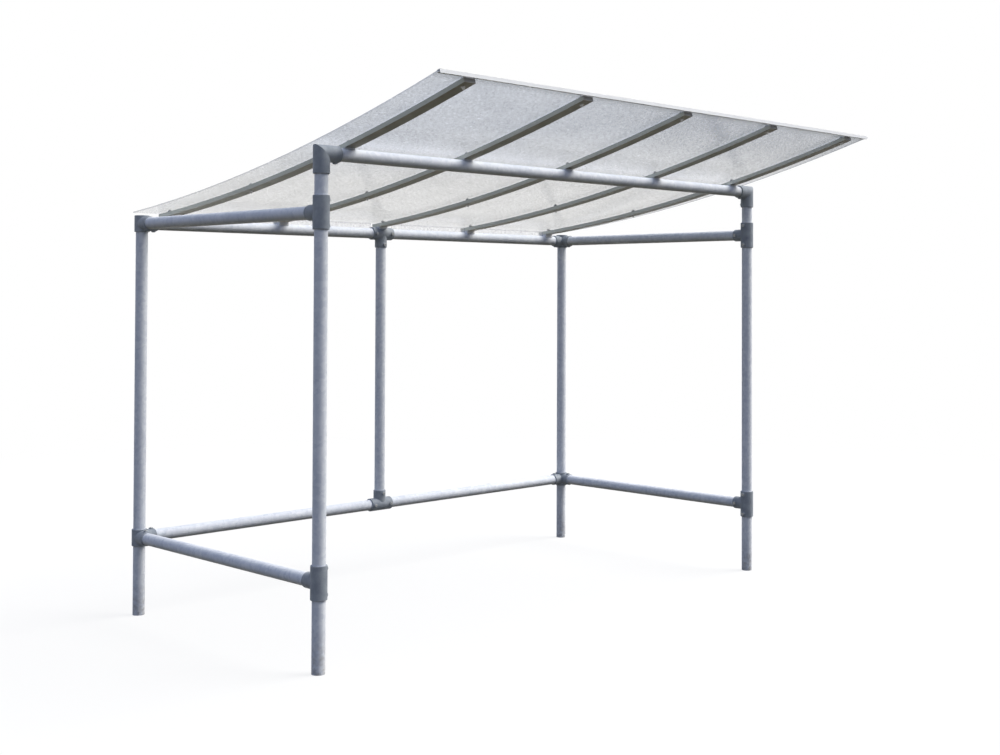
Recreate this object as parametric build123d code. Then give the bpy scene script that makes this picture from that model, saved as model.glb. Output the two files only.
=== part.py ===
from build123d import *
from math import asin, degrees, hypot, sqrt
import os

# Sizes are in millimetres. The length runs along X, the open front faces -Y, the ground is Z = 0.

# Frame, between tube axes
post_spacing = 2500
frame_depth = 1230
low_rail_height = 315
rear_rail_height = 1600
front_rail_rise = 206

# Tube
tube_radius = 24.15
tube_wall = 3.2

# Cast clamp fittings
fit_clearance = 0.3
sleeve_wall = 5.55
branch_wall = 4.05
stop_shoulder = 2
stop_ledge = 1.95
branch_socket_depth = 34
elbow_socket_depth = 40
tee_sleeve_tail = 31.5
corner_sleeve_tail = 5.5
corner_cap_thickness = 5
mouth_bevel = 1.5
tee_round = 4

# Set screw bosses on the fittings
boss_radius = 9
boss_rise = 4
boss_inset = 14
boss_bevel = 1

# Curved roof battens
roof_radius = 9900
front_overhang = 650
rear_tail = 8
batten_count = 5
batten_gap = 23
batten_width = 50
batten_height = 16
batten_wall = 2
batten_end_cap = 3

# Saddles between battens and rails, thick enough at the rear to clear the middle tee
saddle_web = 1.65
front_saddle_length = 24
front_saddle_wrap = 2
rear_saddle_length = 44
rear_saddle_wrap = 8

# Clear roof sheet and the edge trim along its front
sheet_thickness = 5
sheet_side_overhang = 20
sheet_gap = 0.8
trim_wall = 1.6
trim_lip = 12
trim_gap = 0.3
trim_drip = 5
trim_setback = 4

# How far every cutting shape runs past the face it opens
cut_overrun = 5

# Radii and reaches of the fittings, from the tube outwards
bore_radius = tube_radius + fit_clearance
sleeve_radius = bore_radius + sleeve_wall
branch_radius = bore_radius + branch_wall
elbow_core_radius = tube_radius - tube_wall - stop_ledge
socket_stop = sleeve_radius + stop_shoulder
branch_reach = socket_stop + branch_socket_depth
elbow_reach = socket_stop + elbow_socket_depth
tee_sleeve_length = 2 * (branch_radius + tee_sleeve_tail)
corner_sleeve_length = 2 * (branch_radius + corner_sleeve_tail)

# Axes of the posts and the heights where their tubes stop
left_axis = -post_spacing / 2
right_axis = post_spacing / 2
front_rail_height = rear_rail_height + front_rail_rise
front_post_top = front_rail_height - socket_stop
rear_post_top = rear_rail_height + corner_sleeve_length / 2 - corner_cap_thickness

# Centre of the roof arc, set by its distances from the two top rails
front_seat_radius = roof_radius + saddle_web + tube_radius
rear_seat_radius = roof_radius + saddle_web + sleeve_radius
rail_chord = hypot(frame_depth, front_rail_rise)
centre_foot = (front_seat_radius**2 - rear_seat_radius**2 + rail_chord**2) / (2 * rail_chord)
centre_lift = sqrt(front_seat_radius**2 - centre_foot**2)
arc_y = (centre_foot * frame_depth + centre_lift * front_rail_rise) / rail_chord
arc_z = front_rail_height + (centre_lift * frame_depth - centre_foot * front_rail_rise) / rail_chord


# Angle on the roof arc of a point at a given depth
def arc_angle(depth, radius):
    return degrees(asin((depth - arc_y) / radius)) - 90


# Angle taken up by a length along the roof arc
def arc_step(length):
    return degrees(length / roof_radius)


front_angle = arc_angle(-front_overhang, roof_radius)
front_seat_angle = arc_angle(0, front_seat_radius)
rear_seat_angle = arc_angle(frame_depth, rear_seat_radius)
rear_angle = rear_seat_angle + arc_step(rear_saddle_length / 2 + rear_tail)


# Curved strip between two radii and two angles of the roof arc, centred on X = 0
def strip(low_radius, high_radius, start_angle, end_angle, width):
    span = end_angle - start_angle
    low = CenterArc((arc_y, arc_z), low_radius, start_angle, span)
    high = CenterArc((arc_y, arc_z), high_radius, start_angle, span)
    outline = [low, Line(low @ 1, high @ 1), high, Line(high @ 0, low @ 0)]
    return extrude(Plane.YZ * make_face(outline), amount=width / 2, both=True)


# Solid rod from a point along a direction
def rod(start, direction, radius, length):
    return extrude(Plane(origin=start, z_dir=direction) * Circle(radius), amount=length)


# Rod with its far rim bevelled
def stub(start, direction, radius, length, bevel):
    body = rod(start, direction, radius, length)
    far_face = body.faces().sort_by(Axis(start, direction))[-1]
    return chamfer(far_face.edges(), bevel)


# Open tube between two points
def tube(start, end):
    run = Vector(*end) - Vector(*start)
    return rod(start, run, tube_radius, run.length) - rod(start, run, tube_radius - tube_wall, run.length)


# Sleeve centred on the fitting's middle with both rims bevelled
def sleeve(direction, length):
    half = Vector(*direction) * (length / 2)
    body = rod(-half, direction, sleeve_radius, length)
    ends = body.faces().sort_by(Axis((0, 0, 0), direction))
    return chamfer(ends[0].edges() + ends[-1].edges(), mouth_bevel)


# Raised pad for a set screw at a distance along a socket
def boss(along, distance, facing, socket_radius):
    return stub(Vector(*along) * distance, facing, boss_radius, socket_radius + boss_rise, boss_bevel)


# Bore that takes a tube end, from the stop to past the mouth
def socket_bore(direction, reach):
    depth = reach - socket_stop + cut_overrun
    return rod(Vector(*direction) * socket_stop, direction, bore_radius, depth)


# Casting with a sleeve, side branches that may be rounded into it and bosses, bored for its tubes
def clamp(sleeve_axis, sleeve_length, branches, joint_round, bosses, bores):
    body = sleeve(sleeve_axis, sleeve_length)
    for branch in branches:
        body += stub((0, 0, 0), branch, branch_radius, branch_reach, mouth_bevel)
    if joint_round:
        joints = [edge for edge in body.edges() if edge.geom_type not in (GeomType.LINE, GeomType.CIRCLE)]
        body = fillet(joints, joint_round)
    for pad in bosses:
        body += pad
    for bore in bores:
        body -= bore
    return body


# Straight bore through a sleeve
def through_bore(axis, length):
    half = Vector(*axis) * (length / 2 + cut_overrun)
    return rod(-half, axis, bore_radius, length + 2 * cut_overrun)


toward_right = (1, 0, 0)
toward_front = (0, -1, 0)
toward_rear = (0, 1, 0)
upward = (0, 0, 1)
downward = (0, 0, -1)

# Long tee of a left front post, its branch to the rear
tee_screw = tee_sleeve_length / 2 - boss_inset
branch_screw = branch_reach - boss_inset
front_tee = clamp(
    upward,
    tee_sleeve_length,
    [toward_rear],
    tee_round,
    [
        boss(upward, tee_screw, toward_right, sleeve_radius),
        boss(downward, tee_screw, toward_right, sleeve_radius),
        boss(toward_rear, branch_screw, toward_right, branch_radius),
    ],
    [through_bore(upward, tee_sleeve_length), socket_bore(toward_rear, branch_reach)],
)


# Long tee on a rear rail, its branch holding one end of the middle post
def middle_tee(branch):
    return clamp(
        toward_right,
        tee_sleeve_length,
        [branch],
        tee_round,
        [
            boss(toward_right, tee_screw, toward_front, sleeve_radius),
            boss(toward_right, -tee_screw, toward_front, sleeve_radius),
            boss(branch, branch_screw, toward_front, branch_radius),
        ],
        [through_bore(toward_right, tee_sleeve_length), socket_bore(branch, branch_reach)],
    )


# Corner of a left rear post, with sockets for a side rail and a rear rail
def rear_corner(screw_side, post_bore):
    return clamp(
        upward,
        corner_sleeve_length,
        [toward_right, toward_front],
        0,
        [
            boss(toward_right, branch_screw, screw_side, branch_radius),
            boss(toward_front, branch_screw, screw_side, branch_radius),
            boss(upward, 0, toward_rear, sleeve_radius),
        ],
        [post_bore, socket_bore(toward_right, branch_reach), socket_bore(toward_front, branch_reach)],
    )


capped_start = Vector(0, 0, -corner_sleeve_length / 2 - cut_overrun)
capped_depth = corner_sleeve_length - corner_cap_thickness + cut_overrun
capped_bore = rod(capped_start, upward, bore_radius, capped_depth)
top_corner = rear_corner(downward, capped_bore)
lower_corner = rear_corner(upward, through_bore(upward, corner_sleeve_length))


# Two legs of equal radius meeting on a mitre, down to the post and across to the rail
def mitred_legs(radius, reach, bevel):
    mitre = Plane(origin=(0, 0, 0), z_dir=(1, 0, 1))
    post_leg = rod((0, 0, -reach), upward, radius, reach + radius)
    rail_leg = rod((-radius, 0, 0), toward_right, radius, radius + reach)
    if bevel:
        post_leg = chamfer(post_leg.faces().sort_by(Axis.Z)[0].edges(), bevel)
        rail_leg = chamfer(rail_leg.faces().sort_by(Axis.X)[-1].edges(), bevel)
    post_leg = split(post_leg, bisect_by=mitre, keep=Keep.BOTTOM)
    rail_leg = split(rail_leg, bisect_by=mitre, keep=Keep.TOP)
    return post_leg + rail_leg


# Mitred elbow on top of a left front post
elbow_screw = elbow_reach - boss_inset
elbow = mitred_legs(sleeve_radius, elbow_reach, mouth_bevel)
elbow += boss(toward_right, elbow_screw, downward, sleeve_radius)
elbow += boss(downward, elbow_screw, toward_rear, sleeve_radius)
elbow -= mitred_legs(elbow_core_radius, socket_stop + cut_overrun, 0)
elbow -= socket_bore(toward_right, elbow_reach)
elbow -= socket_bore(downward, elbow_reach)


# Block of a given drop and length standing on a rail or fitting under a batten, hollowed to fit round it
def saddle(seat_angle, depth, height, seat, drop, length):
    reach = arc_step(length / 2)
    top = roof_radius - batten_wall / 2
    block = strip(roof_radius + drop, top, seat_angle - reach, seat_angle + reach, batten_width)
    run = batten_width + 2 * cut_overrun
    return block - rod((-run / 2, depth, height), toward_right, seat + fit_clearance, run)


# Curved box section batten with a closed front end and a saddle at each rail
def batten(rear_seat):
    start = front_angle + arc_step(trim_lip + trim_setback)
    high = roof_radius - batten_height
    body = strip(roof_radius, high, start, rear_angle, batten_width)
    front_drop = saddle_web + front_saddle_wrap
    rear_drop = rear_seat_radius - roof_radius - tube_radius + rear_saddle_wrap
    body += saddle(front_seat_angle, 0, front_rail_height, tube_radius, front_drop, front_saddle_length)
    body += saddle(rear_seat_angle, frame_depth, rear_rail_height, rear_seat, rear_drop, rear_saddle_length)
    return body - strip(
        roof_radius - batten_wall,
        high + batten_wall,
        start + arc_step(batten_end_cap),
        rear_angle + arc_step(cut_overrun),
        batten_width - 2 * batten_wall,
    )


# Roof sheet lying over the battens
sheet_low = roof_radius - batten_height - sheet_gap
sheet_high = sheet_low - sheet_thickness
sheet_width = post_spacing + 2 * sheet_side_overhang
sheet = strip(sheet_low, sheet_high, front_angle, rear_angle, sheet_width)

# Edge trim folded over the front of the sheet, its front face drawn down into a drip edge
trim_low = sheet_low + trim_gap
trim_high = sheet_high - trim_gap
trim_front = front_angle - arc_step(trim_gap + trim_wall)
trim_back = front_angle - arc_step(trim_gap)
trim_end = front_angle + arc_step(trim_lip)
trim_foot = trim_low + trim_wall
trim = strip(trim_foot, trim_high - trim_wall, trim_front, trim_end, sheet_width)
trim += strip(trim_foot + trim_drip, trim_low, trim_front, trim_back, sheet_width)
trim -= strip(trim_low, trim_high, trim_back, trim_end + arc_step(cut_overrun), sheet_width + 2 * cut_overrun)

nodes = {}

# Posts, side rails and their fittings, the right side mirrored from the left
for side, axis in (("left", left_axis), ("right", right_axis)):
    nodes[f"front_{side}_post"] = tube((axis, 0, 0), (axis, 0, front_post_top))
    nodes[f"rear_{side}_post"] = tube((axis, frame_depth, 0), (axis, frame_depth, rear_post_top))
    for level, height in (("low", low_rail_height), ("top", rear_rail_height)):
        rail_start = (axis, socket_stop, height)
        rail_end = (axis, frame_depth - socket_stop, height)
        nodes[f"{side}_{level}_rail"] = tube(rail_start, rail_end)
    for name, shape, depth, height in (
        (f"front_{side}_elbow", elbow, 0, front_rail_height),
        (f"front_{side}_upper_tee", front_tee, 0, rear_rail_height),
        (f"front_{side}_lower_tee", front_tee, 0, low_rail_height),
        (f"rear_{side}_top_corner", top_corner, frame_depth, rear_rail_height),
        (f"rear_{side}_lower_corner", lower_corner, frame_depth, low_rail_height),
    ):
        handed = shape if side == "left" else mirror(shape, about=Plane.YZ)
        nodes[name] = Pos(axis, depth, height) * handed

# Rails along the length and the middle post between the two at the rear
for name, depth, height in (
    ("front_top_rail", 0, front_rail_height),
    ("rear_top_rail", frame_depth, rear_rail_height),
    ("rear_low_rail", frame_depth, low_rail_height),
):
    rail_start = (left_axis + socket_stop, depth, height)
    rail_end = (right_axis - socket_stop, depth, height)
    nodes[name] = tube(rail_start, rail_end)
middle_start = (0, frame_depth, low_rail_height + socket_stop)
middle_end = (0, frame_depth, rear_rail_height - socket_stop)
nodes["rear_middle_post"] = tube(middle_start, middle_end)
nodes["middle_upper_tee"] = Pos(0, frame_depth, rear_rail_height) * middle_tee(downward)
nodes["middle_lower_tee"] = Pos(0, frame_depth, low_rail_height) * middle_tee(upward)

# Battens evenly spaced, any over the middle tee seated on the tee
batten_run = post_spacing - 2 * (elbow_reach + batten_gap) - batten_width
for index in range(batten_count):
    offset = batten_run * index / (batten_count - 1) - batten_run / 2
    over_tee = abs(offset) < (tee_sleeve_length + batten_width) / 2
    rear_seat = sleeve_radius if over_tee else tube_radius
    nodes[f"roof_batten_{index + 1}"] = Pos(offset, 0, 0) * batten(rear_seat)
nodes["roof_sheet"] = sheet
nodes["front_edge_trim"] = trim

# The origin goes to the middle of the whole shelter at ground level
boxes = [shape.bounding_box() for shape in nodes.values()]
middle_x = (min(box.min.X for box in boxes) + max(box.max.X for box in boxes)) / 2
middle_y = (min(box.min.Y for box in boxes) + max(box.max.Y for box in boxes)) / 2
os.makedirs("parts", exist_ok=True)
for name, shape in nodes.items():
    export_step(Pos(-middle_x, -middle_y, 0) * shape, f"parts/{name}.step")
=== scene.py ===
# Looks of the bike shelter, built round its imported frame. Lengths are in metres.
import math

import bmesh
import bpy
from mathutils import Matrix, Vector


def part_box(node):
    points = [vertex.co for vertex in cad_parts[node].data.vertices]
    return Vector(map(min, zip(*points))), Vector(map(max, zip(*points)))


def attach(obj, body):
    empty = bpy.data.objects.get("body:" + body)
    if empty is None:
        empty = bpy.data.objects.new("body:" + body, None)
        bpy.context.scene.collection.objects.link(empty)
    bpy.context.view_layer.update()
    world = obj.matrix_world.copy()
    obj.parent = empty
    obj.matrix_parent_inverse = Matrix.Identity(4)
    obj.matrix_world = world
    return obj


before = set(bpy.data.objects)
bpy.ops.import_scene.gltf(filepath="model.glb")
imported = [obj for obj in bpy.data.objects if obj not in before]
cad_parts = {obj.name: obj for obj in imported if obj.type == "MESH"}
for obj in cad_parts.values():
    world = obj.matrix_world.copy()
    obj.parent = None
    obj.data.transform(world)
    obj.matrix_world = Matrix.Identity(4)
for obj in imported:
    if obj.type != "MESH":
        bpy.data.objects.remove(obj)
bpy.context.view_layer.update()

# Camera, at the photograph's viewing angle
CAMERA_PLACE = (-4.0847, -4.1795, 1.3247)
CAMERA_TURN_DEG = (91.0902, -0.1797, -45.8101)
CAMERA_LENS_MM = 48.92
CAMERA_SENSOR_MM = 36
CAMERA_SHIFT = (-0.0505, -0.1114)
CAMERA_REACH = 200

# Light, where a rise is the upward share of a ray's direction
SUN_TURN_DEG = (43, 0, 58)
SUN_STRENGTH = 4.0
SUN_SPREAD_DEG = 40
SUN_COLOUR = (1.0, 0.965, 0.89)
SKY_COLOUR = (0.345, 0.40, 0.55)
HORIZON_COLOUR = (0.315, 0.36, 0.49)
SKY_RISE = (0, 0.6)
WHITE = (1.0, 1.0, 1.0)

# The background seen through the sheet, which turns from white to pale blue as the view rises
SKY_BEHIND_SHEET = (0.87, 0.91, 1.0)
SKY_BEHIND_RISE = (0.08, 0.12)

# Floor
FLOOR_SIZE = 80
FLOOR_DROP = 0.0005
FLOOR_TONE = (0.054, 0.047, 0.024)
FLOOR_PALE = (0.85, 0.85, 0.85)
FLOOR_SHADOW_SHARE = 0.15
FLOOR_FADE = (3.0, 6.5)

# Roof curve and what lies on it
TUBE_RADIUS = 0.02415
FRONT_SEAT_GAP = 0.00165
REAR_SEAT_GAP = 0.0075
BATTEN_UNDERSIDE_RADIUS = 9.9
BATTEN_HEIGHT = 0.016
BATTEN_COUNT = 5
SHEET_GAP = 0.0008
SHEET_THICKNESS = 0.005
SHEET_TOP_RADIUS = BATTEN_UNDERSIDE_RADIUS - BATTEN_HEIGHT - SHEET_GAP - SHEET_THICKNESS

# Where the roof is bolted, behind the front rail's axis
BOLT_FRONT_END = -0.600
BOLT_FRONT_RAIL = 0
BOLT_MID_DEPTH = 0.615
BOLT_REAR_RAIL = 1.215

# Pads of the clamp fittings: how far their tops stand from the sleeve's or branch's axis
SLEEVE_PAD = 0.034
BRANCH_PAD = 0.0325
TEE_PAD_REACH = 0.046
BRANCH_PAD_REACH = 0.052
ELBOW_PAD_REACH = 0.058

# Corners of round and hexagonal bars
SCREW_CORNERS = 32
HEAD_CORNERS = 40
SHANK_CORNERS = 24
HEX_CORNERS = 6

# Set screw, with heights above its pad
SCREW_RADIUS = 0.006
SCREW_FOOT = -0.003
SCREW_TOP = 0.0014
SCREW_BEVEL = 0.0009
SCREW_SOCKET_RADIUS = 0.0033
SCREW_SOCKET_FLOOR = -0.0022
SCREW_CUTTER_TOP = 0.004

# Bolt head, with heights above its sealing washer
FLANGE_RADIUS = 0.0084
FLANGE_TOP = 0.0016
FLANGE_BEVEL = 0.0006
FLANGE_RIM = 0.0022
HEAD_RISE = 0.0042
HEAD_BEVEL = 0.0022
HEAD_SOCKET_RADIUS = 0.0024
HEAD_SOCKET_FLOOR = 0.0032
HEAD_CUTTER_TOP = 0.0096

# Sealing washer under the bolt head
WASHER_RADIUS = 0.0096
WASHER_TOP = 0.0024
WASHER_TOP_BEVEL = 0.0011
WASHER_FOOT_BEVEL = 0.0005

# Nut with its plain washer and the bolt's end, with heights above their seat
NUT_WASHER_RADIUS = 0.0075
NUT_WASHER_TOP = 0.0014
NUT_WASHER_BEVEL = 0.0003
NUT_RADIUS = 0.0058
NUT_FOOT = 0.0012
NUT_TOP = 0.0064
NUT_BEVEL = 0.0006
SHANK_RADIUS = 0.003
SHANK_FOOT = 0.006
SHANK_TOP = 0.0104
SHANK_BEVEL = 0.0007

# Clear seals between the sheet and the rear rail
SEAL_WEB = 0.003
SEAL_FLANGE = 0.0015
SEAL_FOOT_WIDTH = 0.010
SEAL_LIP_WIDTH = 0.007
SEAL_END_GAP = 0.003
SEAL_HEADROOM = 0.0003

# Corners this near to a height count as lying at it
SAME_HEIGHT = 1e-6
SMOOTH_BELOW_DEG = 35
RIDES_ON = "root"

# Tones of the tubes; the underside tone is painted shade, with an olive cast of light from the ground
ZINC_DULL = (0.70, 0.735, 0.80)
ZINC_BRIGHT = (0.86, 0.885, 0.925)
ZINC_RUN = (0.62, 0.65, 0.71)
ZINC_UNDERSIDE_SHADE = (0.40, 0.40, 0.37)
GROUND_DIRT = (0.34, 0.32, 0.29)

# Tones of the cast fittings
IRON_DARK = (0.24, 0.27, 0.31)
IRON_PALE = (0.37, 0.40, 0.44)
IRON_RUBBED = (0.56, 0.58, 0.61)

# Tones of the battens and their saddles: pale sides that are partly painted light, and painted shade on
# the top, front end and underside
BATTEN_DULL = (0.82, 0.82, 0.68)
BATTEN_BRIGHT = (0.88, 0.88, 0.76)
BATTEN_TOP_SHADE = (0.40, 0.41, 0.41)
BATTEN_END_SHADE = (0.58, 0.55, 0.50)
BATTEN_RUBBED = (0.80, 0.81, 0.80)
UNDERSIDE_SHADE_DARK = (0.36, 0.345, 0.30)
UNDERSIDE_SHADE_PALE = (0.50, 0.48, 0.42)
UNDERSIDE_LIT_AT_REAR = (0.80, 0.78, 0.72)
SADDLE_TONE = (0.86, 0.87, 0.88)

# Tones of the sheet: the front tint is a painted sky cast and the top tint is painted shade
SHEET_REAR_TINT = (0.80, 0.79, 0.80)
SHEET_FRONT_SKY_CAST = (0.58, 0.67, 0.84)
SHEET_TOP_SHADE = (0.36, 0.39, 0.42)
SAWN_EDGE_TINT = (0.76, 0.78, 0.79)
BEAD_TINT = (0.93, 0.94, 0.95)

# Tones of the edge trim, the fasteners and their washers
TRIM_DULL = (0.70, 0.71, 0.72)
TRIM_BRIGHT = (0.82, 0.83, 0.84)
TRIM_STAIN = (0.62, 0.63, 0.64)
STEEL_DARK = (0.36, 0.36, 0.35)
STEEL_BRIGHT = (0.55, 0.55, 0.53)
RUBBER_BLACK = (0.025, 0.025, 0.027)
RUBBER_CHALK = (0.07, 0.07, 0.075)

# Where tones set in and where they are full: heights, and places along the depth and the length
SPLASH_HEIGHT = (0.16, 0.0)
# Where the painted shade on the battens' undersides gives way to painted light towards the rear
UNDERSIDE_LIGHT_TO_REAR = (-0.35, 0.75)
# Depths over which the sheet's front takes on its painted shade and sky cast
FRONT_SHADE_AND_SKY_CAST = (0.5, -0.95)
EAVES_DEPTH = (-0.48, -0.80)
FRONT_RIM_SHADE_DEPTH = (-0.900, -0.935)
EAVES_LENGTH = (-0.85, 0.30)
SADDLE_DEPTH = (0.0003, 0.0005)

# How far a surface turns to an axis where a tone sets in and where it is full
TUBE_TURNED_DOWN = (-0.1, -0.8)
BATTEN_TURNED_DOWN = (-0.5, -0.8)
BATTEN_TURNED_UP = (0.5, 0.8)
BATTEN_TURNED_FRONT = (-0.7, -0.9)
SHEET_TURNED_UP = (0.2, 0.6)
SHEET_TURNED_ASIDE = (0.6, 0.8)
RUBBED_EDGE_TURN = (0.97, 0.8)

# Haze scatters light onwards, so it throws only this share of the shade that its cover would
HAZE_SHADE_SHARE = 0.35


# Modelling


def deselect_everything():
    if bpy.context.object and bpy.context.object.mode != "OBJECT":
        bpy.ops.object.mode_set(mode="OBJECT")
    bpy.ops.object.select_all(action="DESELECT")


def pick(thing):
    """Selects one thing alone and makes it the active one."""
    deselect_everything()
    thing.select_set(True)
    bpy.context.view_layer.objects.active = thing


def start_round(name, corners, radius, low, high):
    """A round bar or prism along Z, from low to high, ready to be shaped."""
    deselect_everything()
    bpy.ops.mesh.primitive_cylinder_add(
        vertices=corners, radius=radius, depth=high - low, location=(0, 0, (low + high) / 2)
    )
    made = bpy.context.object
    made.name = name
    bpy.ops.object.transform_apply(location=True, rotation=True, scale=True)
    return made


def select_level(thing, height, kind):
    """Selects the edges or the faces, as kind says, that lie level at this height."""
    pick(thing)
    bpy.ops.object.mode_set(mode="EDIT")
    bpy.ops.mesh.select_mode(type=kind)
    bpy.ops.mesh.select_all(action="DESELECT")
    shape = bmesh.from_edit_mesh(thing.data)
    for element in shape.edges if kind == "EDGE" else shape.faces:
        element.select_set(all(abs(corner.co.z - height) < SAME_HEIGHT for corner in element.verts))
    bmesh.update_edit_mesh(thing.data)


def bevel_ring(thing, height, width, segments):
    """Rounds the edges that lie level at this height."""
    select_level(thing, height, "EDGE")
    bpy.ops.mesh.bevel(offset=width, segments=segments, affect="EDGES")
    bpy.ops.object.mode_set(mode="OBJECT")


def cut_hex_socket(thing, radius, floor, top):
    """Sinks a hexagonal socket down to its floor, with a cutter that starts at the top."""
    cutter = start_round("hex_cutter", HEX_CORNERS, radius, floor, top)
    pick(thing)
    cut = thing.modifiers.new("hex_socket", "BOOLEAN")
    cut.operation = "DIFFERENCE"
    cut.object = cutter
    bpy.ops.object.modifier_apply(modifier=cut.name)
    bpy.data.objects.remove(cutter)


def smooth_round_faces(thing):
    pick(thing)
    bpy.ops.object.shade_smooth_by_angle(angle=math.radians(SMOOTH_BELOW_DEG))


def model_set_screw():
    """A set screw with a hex socket, its pad's top at height 0."""
    screw = start_round("set_screw", SCREW_CORNERS, SCREW_RADIUS, SCREW_FOOT, SCREW_TOP)
    bevel_ring(screw, SCREW_TOP, SCREW_BEVEL, segments=3)
    cut_hex_socket(screw, SCREW_SOCKET_RADIUS, SCREW_SOCKET_FLOOR, SCREW_CUTTER_TOP)
    smooth_round_faces(screw)
    return screw


def model_bolt_head():
    """A domed button head on a pressed flange, its sealing washer's top at height 0."""
    head = start_round("bolt_head", HEAD_CORNERS, FLANGE_RADIUS, 0, FLANGE_TOP)
    bevel_ring(head, FLANGE_TOP, FLANGE_BEVEL, segments=2)
    select_level(head, FLANGE_TOP, "FACE")
    bpy.ops.mesh.inset(thickness=FLANGE_RIM)
    bpy.ops.mesh.extrude_region_move(TRANSFORM_OT_translate={"value": (0, 0, HEAD_RISE)})
    bpy.ops.object.mode_set(mode="OBJECT")
    bevel_ring(head, FLANGE_TOP + HEAD_RISE, HEAD_BEVEL, segments=4)
    cut_hex_socket(head, HEAD_SOCKET_RADIUS, HEAD_SOCKET_FLOOR, HEAD_CUTTER_TOP)
    smooth_round_faces(head)
    return head


def model_sealing_washer():
    """A rubber washer, bulged at its rim, from height 0 up."""
    washer = start_round("sealing_washer", HEAD_CORNERS, WASHER_RADIUS, 0, WASHER_TOP)
    bevel_ring(washer, WASHER_TOP, WASHER_TOP_BEVEL, segments=3)
    bevel_ring(washer, 0, WASHER_FOOT_BEVEL, segments=1)
    smooth_round_faces(washer)
    return washer


def model_nut():
    """A plain washer, hex nut and bolt end, their seat at height 0, pointing up."""
    washer = start_round("nut", SCREW_CORNERS, NUT_WASHER_RADIUS, 0, NUT_WASHER_TOP)
    bevel_ring(washer, NUT_WASHER_TOP, NUT_WASHER_BEVEL, segments=1)
    hexagon = start_round("hexagon", HEX_CORNERS, NUT_RADIUS, NUT_FOOT, NUT_TOP)
    bevel_ring(hexagon, NUT_TOP, NUT_BEVEL, segments=2)
    shank = start_round("shank", SHANK_CORNERS, SHANK_RADIUS, SHANK_FOOT, SHANK_TOP)
    bevel_ring(shank, SHANK_TOP, SHANK_BEVEL, segments=1)
    pick(washer)
    hexagon.select_set(True)
    shank.select_set(True)
    bpy.ops.object.join()
    smooth_round_faces(washer)
    return washer


def place_copies(pattern, name, places):
    """Copies of a pattern stood at each (place, direction), in one piece that rides on the frame."""
    copies = []
    for place, direction in places:
        copy = pattern.copy()
        copy.data = pattern.data.copy()
        bpy.context.scene.collection.objects.link(copy)
        copy.rotation_mode = "QUATERNION"
        copy.rotation_quaternion = Vector((0, 0, 1)).rotation_difference(Vector(direction))
        copy.location = place
        copies.append(copy)
    deselect_everything()
    for copy in copies:
        copy.select_set(True)
    bpy.context.view_layer.objects.active = copies[0]
    bpy.ops.object.transform_apply(location=True, rotation=True, scale=True)
    if len(copies) > 1:
        bpy.ops.object.join()
    piece = bpy.context.object
    piece.name = name
    piece.data.name = name
    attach(piece, RIDES_ON)
    return piece


# Places on the frame


def middle(node):
    low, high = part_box(node)
    return (low + high) / 2


class RoofCurve:
    """The circle that the battens and the sheet follow, set by the two rails that carry them."""

    def __init__(self):
        front = middle("front_top_rail")
        rear = middle("rear_top_rail")
        depth = rear.y - front.y
        rise = front.z - rear.z
        chord = math.hypot(depth, rise)
        front_seat = BATTEN_UNDERSIDE_RADIUS + FRONT_SEAT_GAP + TUBE_RADIUS
        rear_seat = BATTEN_UNDERSIDE_RADIUS + REAR_SEAT_GAP + TUBE_RADIUS
        foot = (front_seat**2 - rear_seat**2 + chord**2) / (2 * chord)
        lift = math.sqrt(front_seat**2 - foot**2)
        self.front_y = front.y
        self.y = front.y + (foot * depth + lift * rise) / chord
        self.z = front.z + (lift * depth - foot * rise) / chord

    def point(self, x, behind, radius):
        """The point at this length and this far behind the front rail, on a circle of this radius."""
        y = self.front_y + behind
        return Vector((x, y, self.z - math.sqrt(radius**2 - (y - self.y) ** 2)))

    def up(self, place):
        """The way that the roof's top faces at a place."""
        return Vector((0, self.y - place.y, self.z - place.z)).normalized()


roof_curve = RoofCurve()


def set_screw_places(centre, kind, inward):
    """(place, direction) of each set screw of a fitting.

    inward is 1 where the shelter's middle lies towards +X of the fitting, and -1 where it lies towards -X.
    """
    right = Vector((inward, 0, 0))
    rear = Vector((0, 1, 0))
    up = Vector((0, 0, 1))
    if kind == "front_tee":
        spots = [
            (right * SLEEVE_PAD + up * TEE_PAD_REACH, right),
            (right * SLEEVE_PAD - up * TEE_PAD_REACH, right),
            (right * BRANCH_PAD + rear * BRANCH_PAD_REACH, right),
        ]
    elif kind == "elbow":
        spots = [
            (right * ELBOW_PAD_REACH - up * SLEEVE_PAD, -up),
            (rear * SLEEVE_PAD - up * ELBOW_PAD_REACH, rear),
        ]
    elif kind in ("top_corner", "lower_corner"):
        face = -up if kind == "top_corner" else up
        spots = [
            (right * BRANCH_PAD_REACH + face * BRANCH_PAD, face),
            (-rear * BRANCH_PAD_REACH + face * BRANCH_PAD, face),
            (rear * SLEEVE_PAD, rear),
        ]
    else:
        branch = -up if kind == "upper_tee" else up
        spots = [
            (right * TEE_PAD_REACH - rear * SLEEVE_PAD, -rear),
            (-right * TEE_PAD_REACH - rear * SLEEVE_PAD, -rear),
            (-rear * BRANCH_PAD + branch * BRANCH_PAD_REACH, -rear),
        ]
    return [(centre + offset, direction) for offset, direction in spots]


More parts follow.
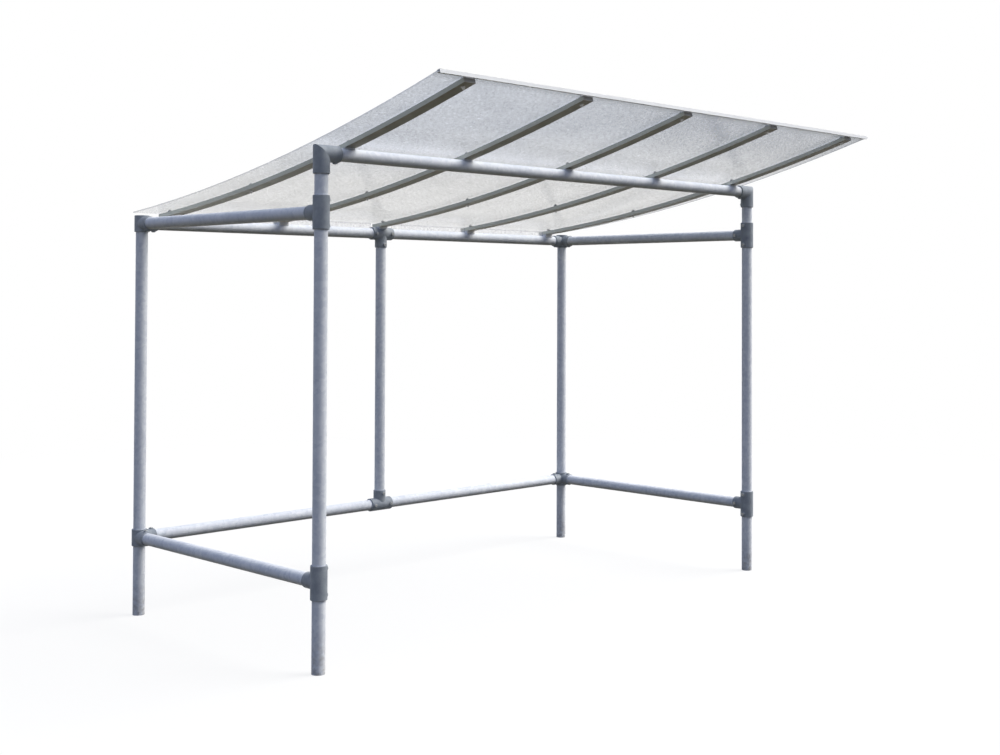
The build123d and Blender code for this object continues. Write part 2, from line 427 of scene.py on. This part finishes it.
def fit_set_screws(finish):
    """Set screws in the pads of all twelve fittings, one piece for each fitting."""
    pattern = model_set_screw()
    pattern.data.materials.append(finish)
    rails = {"top": "rear_top_rail", "front": "front_top_rail", "low": "rear_low_rail"}
    fittings = []
    for side, inward in (("left", 1), ("right", -1)):
        front = f"front_{side}_post"
        rear = f"rear_{side}_post"
        fittings += [
            (f"front_{side}_elbow", "elbow", front, "front", inward),
            (f"front_{side}_upper_tee", "front_tee", front, "top", inward),
            (f"front_{side}_lower_tee", "front_tee", front, "low", inward),
            (f"rear_{side}_top_corner", "top_corner", rear, "top", inward),
            (f"rear_{side}_lower_corner", "lower_corner", rear, "low", inward),
        ]
    fittings += [
        ("middle_upper_tee", "upper_tee", "rear_middle_post", "top", 1),
        ("middle_lower_tee", "lower_tee", "rear_middle_post", "low", 1),
    ]
    for fitting, kind, post, level, inward in fittings:
        axis = middle(post)
        centre = Vector((axis.x, axis.y, middle(rails[level]).z))
        screws = place_copies(pattern, f"{fitting}_screws", set_screw_places(centre, kind, inward))
    bpy.data.objects.remove(pattern)


def fit_roof_bolts(steel, rubber):
    """Bolts through the sheet into each batten, with nuts below it where no rail is in the way."""
    head = model_bolt_head()
    washer = model_sealing_washer()
    nut = model_nut()
    head.data.materials.append(steel)
    washer.data.materials.append(rubber)
    nut.data.materials.append(steel)
    for number in range(1, BATTEN_COUNT + 1):
        x = middle(f"roof_batten_{number}").x
        on_sheet = []
        on_washer = []
        for behind in (BOLT_FRONT_END, BOLT_FRONT_RAIL, BOLT_MID_DEPTH, BOLT_REAR_RAIL):
            place = roof_curve.point(x, behind, SHEET_TOP_RADIUS)
            up = roof_curve.up(place)
            on_sheet.append((place, up))
            on_washer.append((place + up * WASHER_TOP, up))
        under = []
        for behind in (BOLT_FRONT_END, BOLT_MID_DEPTH):
            place = roof_curve.point(x, behind, BATTEN_UNDERSIDE_RADIUS)
            under.append((place, -roof_curve.up(place)))
        place_copies(washer, f"batten_{number}_washers", on_sheet)
        heads = place_copies(head, f"batten_{number}_bolt_heads", on_washer)
        nuts = place_copies(nut, f"batten_{number}_nuts", under)
    for pattern in (head, washer, nut):
        bpy.data.objects.remove(pattern)


def model_seal(length, height):
    """A clear fin with a foot and a lip, along X, its foot's underside at height 0."""
    deselect_everything()
    bpy.ops.mesh.primitive_cube_add(size=1, location=(0, 0, height / 2))
    seal = bpy.context.object
    seal.scale = (length, SEAL_WEB, height - 2 * SEAL_FLANGE)
    bpy.ops.object.transform_apply(location=True, rotation=True, scale=True)
    for level, away, width in (
        (SEAL_FLANGE, -SEAL_FLANGE, SEAL_FOOT_WIDTH),
        (height - SEAL_FLANGE, SEAL_FLANGE, SEAL_LIP_WIDTH),
    ):
        select_level(seal, level, "FACE")
        bpy.ops.mesh.extrude_region_move(TRANSFORM_OT_translate={"value": (0, 0, away)})
        bpy.ops.transform.resize(value=(1, width / SEAL_WEB, 1))
        bpy.ops.object.mode_set(mode="OBJECT")
    smooth_round_faces(seal)
    return seal


def fit_rear_seals(finish):
    """Clear seals that close the gap between the sheet and the rear rail, one in each bay."""
    rail = middle("rear_top_rail")
    crest = rail.z + TUBE_RADIUS
    sheet_low = roof_curve.point(0, rail.y - roof_curve.front_y, SHEET_TOP_RADIUS + SHEET_THICKNESS).z
    tee_low, tee_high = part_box("middle_upper_tee")
    for number in range(1, BATTEN_COUNT):
        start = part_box(f"roof_batten_{number}")[1].x + SEAL_END_GAP
        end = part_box(f"roof_batten_{number + 1}")[0].x - SEAL_END_GAP
        if tee_low.x < start < tee_high.x:
            start = tee_high.x + SEAL_END_GAP
        if tee_low.x < end < tee_high.x:
            end = tee_low.x - SEAL_END_GAP
        seal = model_seal(end - start, sheet_low - crest - SEAL_HEADROOM)
        seal.data.materials.append(finish)
        foot = ((start + end) / 2, rail.y, crest)
        piece = place_copies(seal, f"rear_seal_{number}", [(foot, (0, 0, 1))])
        bpy.data.objects.remove(seal)


# Nodes of materials


def fresh_material(name):
    material = bpy.data.materials.new(name)
    material.use_nodes = True
    return material, material.node_tree, material.node_tree.nodes["Principled BSDF"]


def add(tree, kind, settings=None, **values):
    """A node with its settings and its sockets' values, where an underscore stands for a space."""
    made = tree.nodes.new(kind)
    for name, value in (settings or {}).items():
        setattr(made, name, value)
    for name, value in values.items():
        made.inputs[name.replace("_", " ")].default_value = value
    return made


def wire(tree, node, **sources):
    """Links a source to each named socket of a node, where an underscore stands for a space."""
    for name, source in sources.items():
        tree.links.new(source, node.inputs[name.replace("_", " ")])


def object_place(tree, scale=(1, 1, 1)):
    """Object coordinates, stretched by a Mapping node."""
    place = add(tree, "ShaderNodeTexCoord")
    stretch = add(tree, "ShaderNodeMapping", Scale=scale)
    wire(tree, stretch, Vector=place.outputs["Object"])
    return stretch.outputs["Vector"]


def axes(tree, vector):
    """X, Y and Z of a vector."""
    parts = add(tree, "ShaderNodeSeparateXYZ")
    wire(tree, parts, Vector=vector)
    return parts.outputs


def facing(tree):
    """X, Y and Z of the way that a surface faces: Z is 1 on level tops and -1 on undersides."""
    return axes(tree, add(tree, "ShaderNodeNewGeometry").outputs["Normal"])


def noise(tree, place, scale, detail=3.0, roughness=0.55):
    made = add(tree, "ShaderNodeTexNoise", Scale=scale, Detail=detail, Roughness=roughness)
    wire(tree, made, Vector=place)
    return made.outputs["Fac"]


def cells(tree, place, scale):
    """Random cells: the distance to each cell's middle, and two random tones that each cell has."""
    made = add(tree, "ShaderNodeTexVoronoi", Scale=scale)
    wire(tree, made, Vector=place)
    tones = add(tree, "ShaderNodeSeparateColor")
    wire(tree, tones, Color=made.outputs["Color"])
    return made.outputs["Distance"], tones.outputs["Red"], tones.outputs["Green"]


def remap(tree, value, span, onto=(0, 1)):
    """Stretches a span of a value onto another span, and holds the value at its ends."""
    made = add(
        tree,
        "ShaderNodeMapRange",
        From_Min=span[0],
        From_Max=span[1],
        To_Min=onto[0],
        To_Max=onto[1],
    )
    wire(tree, made, Value=value)
    return made.outputs["Result"]


def calculate(tree, operation, first, second):
    """A Math node of two values, each a socket or a number."""
    made = add(tree, "ShaderNodeMath", {"operation": operation})
    for socket, value in zip(made.inputs, (first, second)):
        if isinstance(value, (int, float)):
            socket.default_value = value
        else:
            tree.links.new(value, socket)
    return made.outputs["Value"]


def times(tree, first, second):
    """The product of two values, each a socket or a number."""
    return calculate(tree, "MULTIPLY", first, second)


def total(tree, first, *others):
    """The sum of values, each a socket or a number."""
    for value in others:
        first = calculate(tree, "ADD", first, value)
    return first


def blend_colours(tree, share, first, second):
    """From the first colour to the second as the share rises to 1. Each is a socket or three numbers."""
    made = add(tree, "ShaderNodeMix", {"data_type": "RGBA"})
    tree.links.new(share, made.inputs[0])
    for socket, colour in ((made.inputs[6], first), (made.inputs[7], second)):
        if isinstance(colour, tuple):
            socket.default_value = (*colour, 1)
        else:
            tree.links.new(colour, socket)
    return made.outputs[2]


def blend_shaders(tree, share, first, second):
    """From the first shader to the second as the share rises to 1."""
    made = add(tree, "ShaderNodeMixShader")
    for socket, source in zip(made.inputs, (share, first, second)):
        tree.links.new(source, socket)
    return made.outputs["Shader"]


def bump(tree, height, strength, distance):
    made = add(tree, "ShaderNodeBump", Strength=strength, Distance=distance)
    wire(tree, made, Height=height)
    return made.outputs["Normal"]


def edge_wear(tree, radius):
    """1 along sharp outer edges, where a finish rubs thin, and 0 on the open faces."""
    rounded = add(tree, "ShaderNodeBevel", {"samples": 6}, Radius=radius)
    surface = add(tree, "ShaderNodeNewGeometry")
    match = add(tree, "ShaderNodeVectorMath", {"operation": "DOT_PRODUCT"})
    tree.links.new(rounded.outputs["Normal"], match.inputs[0])
    tree.links.new(surface.outputs["Normal"], match.inputs[1])
    return remap(tree, match.outputs["Value"], RUBBED_EDGE_TURN)


def below_battens(tree, place):
    """1 on the saddles, which lie outside the circle of the battens' underside."""
    flat = add(tree, "ShaderNodeVectorMath", {"operation": "MULTIPLY"})
    flat.inputs[1].default_value = (0, 1, 1)
    tree.links.new(place, flat.inputs[0])
    away = add(tree, "ShaderNodeVectorMath", {"operation": "DISTANCE"})
    away.inputs[1].default_value = (0, roof_curve.y, roof_curve.z)
    tree.links.new(flat.outputs["Vector"], away.inputs[0])
    saddle = [BATTEN_UNDERSIDE_RADIUS + depth for depth in SADDLE_DEPTH]
    return remap(tree, away.outputs["Value"], saddle)


# Materials


def galvanised_tube():
    """Weathered hot-dip zinc: crystals, cloudy bloom, water runs, and dirt splashed up from the ground,
    with painted shade on its undersides.
    """
    material, tree, shader = fresh_material("galvanised_tube")
    place = object_place(tree)
    spangle = cells(tree, place, scale=75)[1]
    bloom = noise(tree, place, scale=11, detail=5)
    tone = total(tree, times(tree, spangle, 0.4), times(tree, bloom, 0.75))
    zinc = blend_colours(tree, remap(tree, tone, (0.3, 0.85)), ZINC_DULL, ZINC_BRIGHT)
    runs = noise(tree, object_place(tree, (55, 55, 2.2)), scale=1)
    zinc = blend_colours(tree, remap(tree, runs, (0.56, 0.74), (0, 0.35)), zinc, ZINC_RUN)
    splash = remap(tree, axes(tree, place)["Z"], SPLASH_HEIGHT, (0, 0.75))
    specks = remap(tree, noise(tree, place, scale=60, detail=4), (0.35, 0.7))
    zinc = blend_colours(tree, times(tree, splash, specks), zinc, GROUND_DIRT)
    # Painted shade: faces turned down are darkened to an olive grey, standing for the shade under the tube
    # and olive light from the ground
    tube_underside_shade = remap(tree, facing(tree)["Z"], TUBE_TURNED_DOWN, (0, 0.5))
    zinc = blend_colours(tree, tube_underside_shade, zinc, ZINC_UNDERSIDE_SHADE)
    grain = total(tree, noise(tree, place, scale=420, detail=2), times(tree, spangle, 0.6))
    wire(
        tree,
        shader,
        Base_Color=zinc,
        Roughness=remap(tree, tone, (0.25, 0.9), (0.52, 0.36)),
        Normal=bump(tree, grain, strength=0.12, distance=0.0006),
    )
    shader.inputs["Specular IOR Level"].default_value = 0.06
    return material


def cast_fitting():
    """Malleable iron, sand cast and galvanised: grainy, dull, rubbed bright along its rims."""
    material, tree, shader = fresh_material("cast_fitting")
    place = object_place(tree)
    patches = noise(tree, place, scale=26, detail=5, roughness=0.6)
    sand = noise(tree, place, scale=520, roughness=0.7)
    tone = total(tree, times(tree, patches, 0.7), times(tree, sand, 0.35))
    iron = blend_colours(tree, remap(tree, tone, (0.38, 0.68)), IRON_DARK, IRON_PALE)
    rubbed = remap(tree, noise(tree, place, scale=90), (0.35, 0.6), (0.15, 0.7))
    iron = blend_colours(tree, times(tree, edge_wear(tree, 0.0022), rubbed), iron, IRON_RUBBED)
    lumps = total(tree, sand, times(tree, noise(tree, place, scale=140, detail=2), 0.8))
    wire(
        tree,
        shader,
        Base_Color=iron,
        Roughness=remap(tree, tone, (0.35, 0.7), (0.68, 0.5)),
        Normal=bump(tree, lumps, strength=0.35, distance=0.0007),
    )
    shader.inputs["Metallic"].default_value = 0.04
    shader.inputs["Specular IOR Level"].default_value = 0.2
    return material


def drawn_batten():
    """Mill-finish section with fine draw lines along it; its pale sides are partly painted light, and its
    top, front end and underside are painted shade, deepest under the front.
    """
    material, tree, shader = fresh_material("drawn_batten")
    place = object_place(tree)
    lines = noise(tree, object_place(tree, (520, 5, 520)), scale=1, detail=2)
    dust = noise(tree, place, scale=16, detail=5, roughness=0.6)
    tone = total(tree, times(tree, lines, 0.45), times(tree, dust, 0.6))
    tone = remap(tree, tone, (0.35, 0.72))
    # The pale side tones are partly painted light, standing for light scattered down through the sheet
    metal = blend_colours(tree, tone, BATTEN_DULL, BATTEN_BRIGHT)
    # Painted shade on the underside, painted lighter towards the rear
    batten_underside_shade = blend_colours(tree, tone, UNDERSIDE_SHADE_DARK, UNDERSIDE_SHADE_PALE)
    batten_underside_shade = blend_colours(tree, remap(tree, axes(tree, place)["Y"], UNDERSIDE_LIGHT_TO_REAR), batten_underside_shade, UNDERSIDE_LIT_AT_REAR)
    way = facing(tree)
    # Painted shade on the front end faces
    metal = blend_colours(tree, remap(tree, way["Y"], BATTEN_TURNED_FRONT), metal, BATTEN_END_SHADE)
    metal = blend_colours(tree, remap(tree, way["Z"], BATTEN_TURNED_DOWN), metal, batten_underside_shade)
    # Painted shade on the tops, which the sun lights strongly
    metal = blend_colours(tree, remap(tree, way["Z"], BATTEN_TURNED_UP), metal, BATTEN_TOP_SHADE)
    metal = blend_colours(tree, times(tree, edge_wear(tree, 0.0012), 0.4), metal, BATTEN_RUBBED)
    metal = blend_colours(tree, below_battens(tree, place), metal, SADDLE_TONE)
    wire(
        tree,
        shader,
        Base_Color=metal,
        Roughness=remap(tree, tone, (0, 1), (0.6, 0.42)),
        Normal=bump(tree, lines, strength=0.1, distance=0.0004),
    )
    shader.inputs["Specular IOR Level"].default_value = 0.08
    return material


def clear_sheet():
    """Clear sheet, hazed and beaded with fine droplets, with greyer sawn edges at its sides, a painted
    shade and sky cast towards the front, and painted shade on its top.
    """
    material, tree, shader = fresh_material("clear_sheet")
    place = object_place(tree)
    spot = axes(tree, place)
    way = facing(tree)

    # Droplets: some cells hold one, of a random size and clearness
    from_middle, size, dullness = cells(tree, place, scale=70)
    reach = remap(tree, size, (0.55, 1.0), (0, 0.40))
    bead = remap(tree, calculate(tree, "SUBTRACT", reach, from_middle), (0, 0.12))
    clearness = remap(tree, dullness, (0, 1), (0.12, -0.30))

    # Cover: how much of what lies behind is hidden, by haze, droplets and the sawn side edges; it is
    # denser towards the front right, and deeper towards the front and along the front rim as painted shade
    haze = noise(tree, place, scale=5.5, detail=6, roughness=0.62)
    fine = noise(tree, place, scale=85)
    # Painted shade and sky cast, growing towards the front
    front_shade_and_sky = remap(tree, spot["Y"], FRONT_SHADE_AND_SKY_CAST)
    rightward = remap(tree, spot["X"], EAVES_LENGTH, (-0.02, 0.10))
    side = remap(tree, calculate(tree, "ABSOLUTE", way["X"], 0), SHEET_TURNED_ASIDE)
    cover = total(
        tree,
        remap(tree, haze, (0.3, 0.7), (0.20, 0.25)),
        remap(tree, fine, (0.3, 0.7), (-0.08, 0.10)),
        times(tree, front_shade_and_sky, 0.06),
        # Painted shade: a dark band along the front rim, just behind the trim
        remap(tree, spot["Y"], FRONT_RIM_SHADE_DEPTH, (0, 0.16)),
        times(tree, remap(tree, spot["Y"], EAVES_DEPTH), rightward),
        times(tree, bead, clearness),
        times(tree, side, 0.2),
    )
    path = add(tree, "ShaderNodeLightPath").outputs
    lighting = calculate(tree, "MAXIMUM", path["Is Shadow Ray"], path["Is Diffuse Ray"])
    shade = remap(tree, lighting, (0, 1), (1, HAZE_SHADE_SHARE))

    # Painted sky cast: the tint turns blue towards the front
    tint = blend_colours(tree, front_shade_and_sky, SHEET_REAR_TINT, SHEET_FRONT_SKY_CAST)
    # Painted shade on the top faces, which the sun lights strongly
    tint = blend_colours(tree, remap(tree, way["Z"], SHEET_TURNED_UP), tint, SHEET_TOP_SHADE)
    tint = blend_colours(tree, bead, tint, BEAD_TINT)
    tint = blend_colours(tree, side, tint, SAWN_EDGE_TINT)
    wire(
        tree,
        shader,
        Alpha=times(tree, cover, shade),
        Base_Color=tint,
        Roughness=total(tree, remap(tree, haze, (0.3, 0.7), (0.1, 0.2)), times(tree, bead, 0.2)),
        Normal=bump(tree, bead, strength=0.2, distance=0.0006),
    )
    shader.inputs["IOR"].default_value = 1.58
    shader.inputs["Specular IOR Level"].default_value = 0.2
    return material


def bright_trim():
    """Bright aluminium strip, brushed along its length."""
    material, tree, shader = fresh_material("bright_trim")
    brush = noise(tree, object_place(tree, (3, 600, 600)), scale=1, detail=2)
    stains = noise(tree, object_place(tree), scale=20, detail=4)
    metal = blend_colours(tree, remap(tree, brush, (0.3, 0.7)), TRIM_DULL, TRIM_BRIGHT)
    metal = blend_colours(tree, remap(tree, stains, (0.5, 0.75), (0, 0.3)), metal, TRIM_STAIN)
    wire(
        tree,
        shader,
        Base_Color=metal,
        Roughness=remap(tree, brush, (0.3, 0.7), (0.62, 0.5)),
        Normal=bump(tree, brush, strength=0.08, distance=0.0003),
    )
    shader.inputs["Specular IOR Level"].default_value = 0.08
    return material


def plated_steel():
    """Zinc plated screws and bolts with a faint yellowed, rubbed tone."""
    material, tree, shader = fresh_material("plated_steel")
    rub = noise(tree, object_place(tree), scale=320, detail=4)
    metal = blend_colours(tree, remap(tree, rub, (0.35, 0.65)), STEEL_DARK, STEEL_BRIGHT)
    wire(
        tree,
        shader,
        Base_Color=metal,
        Roughness=remap(tree, rub, (0.3, 0.7), (0.45, 0.28)),
        Normal=bump(tree, rub, strength=0.08, distance=0.0003),
    )
    shader.inputs["Metallic"].default_value = 0.5
    return material


def washer_rubber():
    """Black sealing rubber with a chalky bloom."""
    material, tree, shader = fresh_material("washer_rubber")
    chalk = noise(tree, object_place(tree), scale=260, detail=4)
    rubber = blend_colours(tree, remap(tree, chalk, (0.4, 0.7)), RUBBER_BLACK, RUBBER_CHALK)
    wire(
        tree,
        shader,
        Base_Color=rubber,
        Roughness=remap(tree, chalk, (0.3, 0.7), (0.62, 0.85)),
        Normal=bump(tree, chalk, strength=0.15, distance=0.0003),
    )
    return material


def finish_nodes():
    """Gives each node of the frame the finish that its slot in the record stands for."""
    finishes = {
        "tube": galvanised_tube(),
        "cast_fitting": cast_fitting(),
        "batten": drawn_batten(),
        "clear_sheet": clear_sheet(),
        "edge_trim": bright_trim(),
    }
    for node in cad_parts.values():
        for slot in node.material_slots:
            slot.material = finishes[slot.material.name.split(".")[0]]
    return finishes


# Stage


def seen_rays(tree):
    """1 for rays from the camera, a mirror or glass, and 0 for those that only carry light."""
    path = add(tree, "ShaderNodeLightPath").outputs
    seen = calculate(tree, "MAXIMUM", path["Is Camera Ray"], path["Is Glossy Ray"])
    return calculate(tree, "MAXIMUM", seen, path["Is Transmission Ray"])


def set_floor():
    """A floor that shows white with a soft shadow, and sends up only a little warm light."""
    deselect_everything()
    bpy.ops.mesh.primitive_plane_add(size=FLOOR_SIZE, location=(0, 0, -FLOOR_DROP))
    floor = bpy.context.object
    floor.name = "studio_floor"
    material, tree, shader = fresh_material("studio_floor")
    tree.nodes.remove(shader)
    place = add(tree, "ShaderNodeTexCoord")
    away = add(tree, "ShaderNodeVectorMath", {"operation": "LENGTH"})
    tree.links.new(place.outputs["Object"], away.inputs[0])
    fade = remap(tree, away.outputs["Value"], FLOOR_FADE, (1 - FLOOR_SHADOW_SHARE, 1))
    lit = add(tree, "ShaderNodeBsdfDiffuse", Color=(*FLOOR_TONE, 1))
    pale = add(tree, "ShaderNodeBsdfDiffuse", Color=(*FLOOR_PALE, 1))
    white = add(tree, "ShaderNodeEmission", Color=(*WHITE, 1), Strength=1.0)
    shown = blend_shaders(tree, fade, pale.outputs["BSDF"], white.outputs["Emission"])
    either = blend_shaders(tree, seen_rays(tree), lit.outputs["BSDF"], shown)
    wire(tree, tree.nodes["Material Output"], Surface=either)
    floor.data.materials.append(material)


def set_world():
    """Sky light on the shelter, before a background that shows white, or pale blue behind the sheet."""
    world = bpy.data.worlds.new("studio")
    bpy.context.scene.world = world
    world.use_nodes = True
    tree = world.node_tree
    light = tree.nodes["Background"]
    rise = axes(tree, add(tree, "ShaderNodeTexCoord").outputs["Generated"])["Z"]
    sky = blend_colours(tree, remap(tree, rise, SKY_RISE), HORIZON_COLOUR, SKY_COLOUR)
    wire(tree, light, Color=sky)
    path = add(tree, "ShaderNodeLightPath").outputs
    behind = calculate(tree, "MINIMUM", path["Transparent Depth"], 1)
    behind = times(tree, behind, remap(tree, rise, SKY_BEHIND_RISE))
    backdrop = add(tree, "ShaderNodeBackground", Strength=1.0)
    wire(tree, backdrop, Color=blend_colours(tree, behind, WHITE, SKY_BEHIND_SHEET))
    either = blend_shaders(
        tree, seen_rays(tree), light.outputs["Background"], backdrop.outputs["Background"]
    )
    wire(tree, tree.nodes["World Output"], Surface=either)


def set_sun():
    bpy.ops.object.light_add(type="SUN", rotation=[math.radians(turn) for turn in SUN_TURN_DEG])
    sun = bpy.context.object.data
    sun.energy = SUN_STRENGTH
    sun.angle = math.radians(SUN_SPREAD_DEG)
    sun.color = SUN_COLOUR


def set_camera():
    bpy.ops.object.camera_add(
        location=CAMERA_PLACE, rotation=[math.radians(turn) for turn in CAMERA_TURN_DEG]
    )
    camera = bpy.context.object
    camera.data.sensor_width = CAMERA_SENSOR_MM
    camera.data.lens = CAMERA_LENS_MM
    camera.data.shift_x = CAMERA_SHIFT[0]
    camera.data.shift_y = CAMERA_SHIFT[1]
    camera.data.clip_end = CAMERA_REACH
    bpy.context.scene.camera = camera


finishes = finish_nodes()
steel = plated_steel()
fit_set_screws(steel)
fit_roof_bolts(steel, washer_rubber())
fit_rear_seals(finishes["clear_sheet"])
set_floor()
set_world()
set_sun()
set_camera()
bpy.context.scene.view_settings.view_transform = "Standard"
